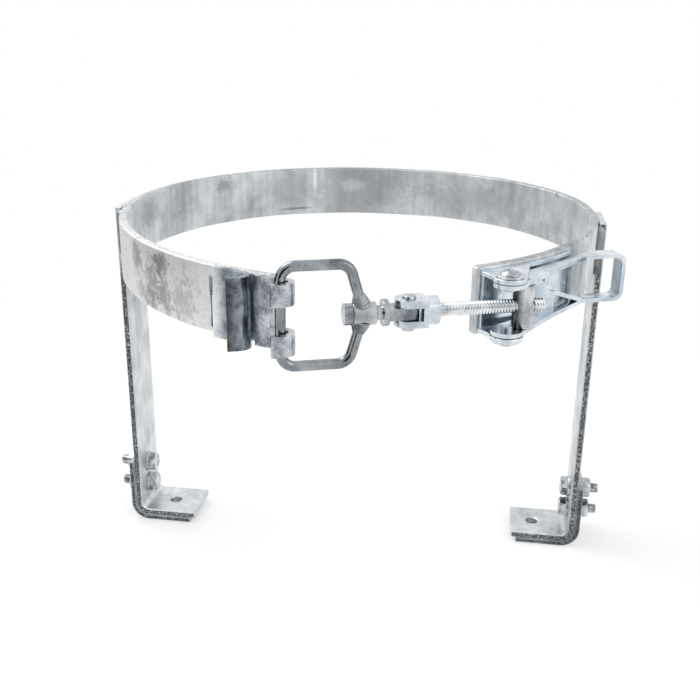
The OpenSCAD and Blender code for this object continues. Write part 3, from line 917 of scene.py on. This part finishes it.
# place in plan, lower end, upper end and radius of each upright bead, in millimetres
WELD_SEAMS: dict[str, tuple[tuple[tuple[float, float], float, float, float], ...]] = {
    "right_leg_welds": (((166.0, 23.8), 218, 252, 3.6), ((166.0, -16.2), 218, 252, 3.6)),
    "left_leg_welds": (((-170.4, 9.4), 218, 252, 3.6), ((-170.0, -30.6), 218, 252, 3.6)),
    "catch_welds": (((-58.9, -180.7), 220, 252, 2.4),),
    "base_welds": (((139.6, -97.9), 221, 251, 2.2),),
}


@dataclass
class WeldBeads:
    """Beads of weld metal, rippled where the welder paused, along the seams."""

    finishes: Finishes
    ripple_mm: float = 2.1
    # where each cone of the bail starts and ends along the leaning wire, and its radius on the way
    cone_along: tuple[float, ...] = (4.3, 7.2, 10.2, 11.2)
    cone_radius: tuple[float, ...] = (5.3, 4.8, 3.7, 3.02)
    barrel_x: float = -91.12
    # cosine and sine of the wire's lean
    lean_cos: float = 0.96
    lean_sin: float = 0.28

    def bead(
        self, foot: tuple[float, float], low: float, high: float, radius: float, seed: int
    ) -> np.ndarray:
        """An upright bead: a rounded rod whose radius swells with each ripple and wanders a little.

        Args:
            foot: place in plan.
            low: lower end.
            high: upper end.
            radius: mean radius.
            seed: number that sets its wander.

        Returns:
            N by M by 3 array of points.
        """
        z = np.linspace(low, high, 150)
        turn = np.linspace(0, TAU, 40, endpoint=False)
        ends = np.sqrt(np.clip(1 - (1 - np.minimum(z - low, high - z) / radius).clip(0) ** 2, 0.0004, 1))
        phase = (z[:, None] - 0.9 * radius * np.cos(turn[None, :]) ** 2) / self.ripple_mm
        swell = 0.07 * np.abs(np.sin(math.pi * phase)) + 0.05 * np.sin(z / 5.3 + seed)[:, None]
        r = radius * ends[:, None] * (0.92 + swell)
        x = foot[0] + 0.25 * np.sin(z / 7.0 + 2 * seed)[:, None] + r * np.cos(turn)
        y = foot[1] + 0.25 * np.cos(z / 6.1 + seed)[:, None] + r * np.sin(turn)
        return np.stack([x, y, np.repeat(z[:, None], len(turn), 1)], -1)

    def build(self) -> None:
        """Builds the beads of the legs, the catch plate and the latch base."""
        for number, (node, beads) in enumerate(WELD_SEAMS.items()):
            surface = Surface(node + "_rippled")
            for extra, (foot, low, high, radius) in enumerate(beads):
                surface.add_tube(self.bead(foot, low, high, radius, 3 * number + extra))
            self.dress(surface.build(60), node, "bracket")
        self.build_bail_beads()

    def build_bail_beads(self) -> None:
        """Builds the two cones of weld metal between the bail's ends and its barrel."""
        surface = Surface("bail_welds_rippled")
        turn = np.linspace(0, TAU, 48, endpoint=False)
        along = np.linspace(self.cone_along[0], self.cone_along[-1], 40)
        for side in (1, -1):
            r = np.interp(along, self.cone_along, self.cone_radius)
            r = r[:, None] * (1 + 0.03 * np.sin(along * 3.1)[:, None] + 0.025 * np.sin(3 * turn + side))
            out = r * np.cos(turn)
            x = self.barrel_x - along[:, None] * self.lean_sin + out * self.lean_cos
            y = r * np.sin(turn)
            z = side * (along[:, None] * self.lean_cos + out * self.lean_sin)
            surface.add_tube(ROD.put(np.stack([x, y, z], -1)))
        self.dress(surface.build(60), "bail_welds", "bail")

    def dress(self, piece: bpy.types.Object, node: str, body: str) -> None:
        """Gives a bead its finish, body and node.

        Args:
            piece: the bead.
            node: solid that it stands for.
            body: body that carries it.
        """
        self.finishes.lay(piece, "weld_bead")
        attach(piece, body)
        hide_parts(node)
        LOG.info("piece %s", piece.name)


@dataclass
class Bail:
    """The bent wire loop that hooks on the catch."""

    finishes: Finishes
    wire: float = 3.0
    bend: float = 8.0
    far_x: float = -136.49
    near_c: tuple[float, float] = (-105.28, 20.0)
    step_degrees: float = 4.0
    lean: float = 16.26
    lean_l: float = 23.0

    def path(self) -> np.ndarray:
        """The wire's middle line in the rod's upright plane: leaning end, bends and straight runs.

        Returns:
            Points and sideways normals as an N by 4 array, from the upper end to the lower end.
        """
        near = arc(self.near_c, self.bend, self.lean, 90, self.step_degrees)
        far = arc((self.far_x + self.bend, self.near_c[1]), self.bend, 90, 180, self.step_degrees)
        slope = np.array([math.sin(math.radians(self.lean)), -math.cos(math.radians(self.lean))])
        steps = np.linspace(self.lean_l, 0.5, 30)
        end = np.hstack([near[0, :2] + steps[:, None] * slope, np.repeat(near[:1, 2:], len(steps), 0)])
        upper = np.concatenate([end, near, far])
        lower = upper[::-1] * np.array([1, -1, 1, -1])
        return np.concatenate([upper, lower])

    def build(self) -> None:
        """Carries a circle along the path: the normal and the cross direction span each ring."""
        line = self.path()
        turn = np.linspace(0, TAU, 40, endpoint=False)
        spread = self.wire * np.cos(turn)
        rings = np.stack(
            [
                line[:, 0:1] + line[:, 2:3] * spread,
                np.repeat((self.wire * np.sin(turn))[None, :], len(line), 0),
                line[:, 1:2] + line[:, 3:4] * spread,
            ],
            -1,
        )
        surface = Surface("bail_wire")
        surface.add_tube(ROD.put(rings))
        piece = surface.build(50)
        self.finishes.lay(piece, "wire_galvanising")
        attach(piece, "bail")
        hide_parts("bail")
        LOG.info("piece %s", piece.name)


@dataclass
class ThreadedRod:
    """The M8 rod that joins the fork to the trunnion."""

    finishes: Finishes
    radius: float = 3.94
    # the real thread's 1.25 mm pitch is too fine to show, so it is drawn coarser
    pitch: float = 1.75
    depth: float = 0.72
    x0: float = -58.5
    x1: float = 12.2

    def build(self) -> None:
        """Builds the rod's thread along the rod's line."""
        surface = Surface("threaded_rod_cut")
        surface.add_tube(ROD.put(thread_rings(self.x0, self.x1, self.radius, self.pitch, self.depth)))
        piece = surface.build(55)
        self.finishes.lay(piece, "rod_zinc")
        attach(piece, "rod")
        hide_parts("threaded_rod")
        LOG.info("piece %s", piece.name)


# place, size and power of each lamp, in metres and watts
LAMPS = {
    "key_softbox": ((-0.75, 0.25, 1.35), 0.9, 9.0),
    "fill_softbox": ((1.0, -0.5, 0.9), 0.8, 2.5),
}
# corners in metres of the dark cards that only the metal's reflections see
CARDS = {
    "grey_card": [(-0.8, -1.5, 0.0), (0.30, -1.5, 0.0), (0.30, -1.5, 1.2), (-0.8, -1.5, 1.2)],
    "side_card": [(-1.1, 0.3, 0.0), (-1.1, -0.75, 0.0), (-1.1, -0.75, 0.55), (-1.1, 0.3, 0.55)],
}


@dataclass(frozen=True)
class Studio:
    """White table and soft light, with the camera in front of the latch and a little above the ring."""

    distance: float = 3.9762 * RING_R
    height: float = 0.8095 * RING_R + TOP_Z
    yaw: float = -0.66
    pitch: float = 20.19
    roll: float = 0.77
    turn: float = 7.5
    focal_px: float = 946.5
    image_px: float = 700.0
    lamp_aim: tuple[float, float, float] = (0.0, 0.0, 0.15)
    table_half: float = 9.0
    # just under the floor, so that the feet don't share their faces with it
    table_z: float = -0.0002

    def build_camera(self) -> None:
        """Stands the camera by its distance, height and angles; the bracket is turned a little to it."""
        yaw, pitch, roll = (math.radians(v) for v in (self.yaw, self.pitch, self.roll))
        forward = Vector((math.sin(yaw) * math.cos(pitch), math.cos(yaw) * math.cos(pitch), -math.sin(pitch)))
        right = Vector((math.cos(yaw), -math.sin(yaw), 0.0))
        up = right.cross(forward)
        across = math.cos(roll) * right + math.sin(roll) * up
        above = -math.sin(roll) * right + math.cos(roll) * up
        frame = Matrix((across, above, -forward)).transposed().to_4x4()
        frame.translation = Vector((0.0, -self.distance * MM, self.height * MM))
        data = bpy.data.cameras.new("view_camera")
        data.sensor_width = 36.0
        data.lens = self.focal_px / self.image_px * data.sensor_width
        data.clip_start = 0.01
        camera = bpy.data.objects.new("view_camera", data)
        camera.matrix_world = Matrix.Rotation(math.radians(self.turn), 4, "Z") @ frame
        bpy.context.scene.collection.objects.link(camera)
        bpy.context.scene.camera = camera

    def build_light(self) -> None:
        """Hangs a soft key lamp and a weaker fill, and gives the world a plain white."""
        for name, (place, size, power) in LAMPS.items():
            data = bpy.data.lights.new(name, "AREA")
            data.size = size
            data.energy = power
            lamp = bpy.data.objects.new(name, data)
            lamp.location = place
            aim = Vector(self.lamp_aim) - Vector(place)
            lamp.rotation_euler = aim.to_track_quat("-Z", "Y").to_euler()
            bpy.context.scene.collection.objects.link(lamp)
        bpy.context.scene.view_settings.view_transform = "Standard"
        world = bpy.data.worlds.new("studio_white")
        bpy.context.scene.world = world
        world.use_nodes = True
        world.node_tree.nodes.clear()
        add = partial(add_node, world.node_tree)
        path = add("ShaderNodeLightPath").outputs
        seen = add(MATH, {0: path["Is Camera Ray"], 1: path["Is Glossy Ray"]}, operation="ADD").outputs[0]
        seen = add(
            MATH, {0: seen, 1: path["Is Transmission Ray"]}, operation="ADD", use_clamp=True
        ).outputs[0]
        strength = add(REMAP, {"Value": seen, "To Min": 0.85, "To Max": 1.0}).outputs[0]
        sky = add("ShaderNodeBackground", {"Color": (1, 1, 1, 1), "Strength": strength})
        add("ShaderNodeOutputWorld", {"Surface": sky.outputs[0]})

    def build_stage(self) -> None:
        """Lays the table, which fades to plain white with distance, and stands the cards."""
        corners = [
            (x * self.table_half, y * self.table_half, self.table_z)
            for x, y in ((-1, -1), (1, -1), (1, 1), (-1, 1))
        ]
        table = self.card("table", corners, "FAFAFB")
        tree = table.data.materials[0].node_tree
        add = partial(add_node, tree)
        path = add("ShaderNodeLightPath").outputs
        seen = add(MATH, {0: path["Is Camera Ray"], 1: path["Is Glossy Ray"]}, operation="ADD").outputs[0]
        place = add("ShaderNodeTexCoord").outputs["Object"]
        far = add(VECTOR, {0: place}, operation="LENGTH").outputs["Value"]
        white = add(
            REMAP, {"Value": far, "From Min": 0.25, "From Max": 0.75, "To Min": 0.5, "To Max": 1.0}
        ).outputs[0]
        share = add(MATH, {0: seen, 1: white}, operation="MULTIPLY", use_clamp=True).outputs[0]
        glow = add("ShaderNodeEmission", {"Color": (1, 1, 1, 1), "Strength": 1.0}).outputs[0]
        paper = tree.nodes["Principled BSDF"].outputs[0]
        lit = add("ShaderNodeMixShader", {0: share, 1: paper, 2: glow}).outputs[0]
        tree.links.new(lit, tree.nodes["Material Output"].inputs[0])
        for name, corners in CARDS.items():
            grey = self.card(name, corners, "1E1F21")
            grey.visible_camera = False
            grey.visible_diffuse = False
            grey.visible_shadow = False

    def card(self, name: str, corners: list[tuple[float, float, float]], code: str) -> bpy.types.Object:
        """Makes a flat sheet of the stage.

        Args:
            name: its name.
            corners: its four corners in metres.
            code: its colour.

        Returns:
            The sheet.
        """
        mesh = bpy.data.meshes.new(name)
        mesh.from_pydata(corners, [], [(0, 1, 2, 3)])
        sheet = bpy.data.objects.new(name, mesh)
        bpy.context.scene.collection.objects.link(sheet)
        material = bpy.data.materials.new(name + "_paper")
        material.use_nodes = True
        shader = material.node_tree.nodes["Principled BSDF"]
        shader.inputs["Base Color"].default_value = linear(code)
        shader.inputs["Roughness"].default_value = 1.0
        shader.inputs["Specular IOR Level"].default_value = 0.0
        mesh.materials.append(material)
        return sheet


def main() -> None:
    """Loads the frame, builds every piece in order and finishes."""
    logging.basicConfig(level=logging.INFO)
    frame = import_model()
    finishes = Finishes()
    finishes.build()
    studio = Studio()
    studio.build_camera()
    studio.build_light()
    studio.build_stage()
    RingBand(finishes).build()
    EasedPlates(finishes, frame["nodes"]).build()
    LegFastening(finishes).build()
    WeldBeads(finishes).build()
    ThreadedRod(finishes).build()
    Bail(finishes).build()


if __name__ == "__main__":
    main()
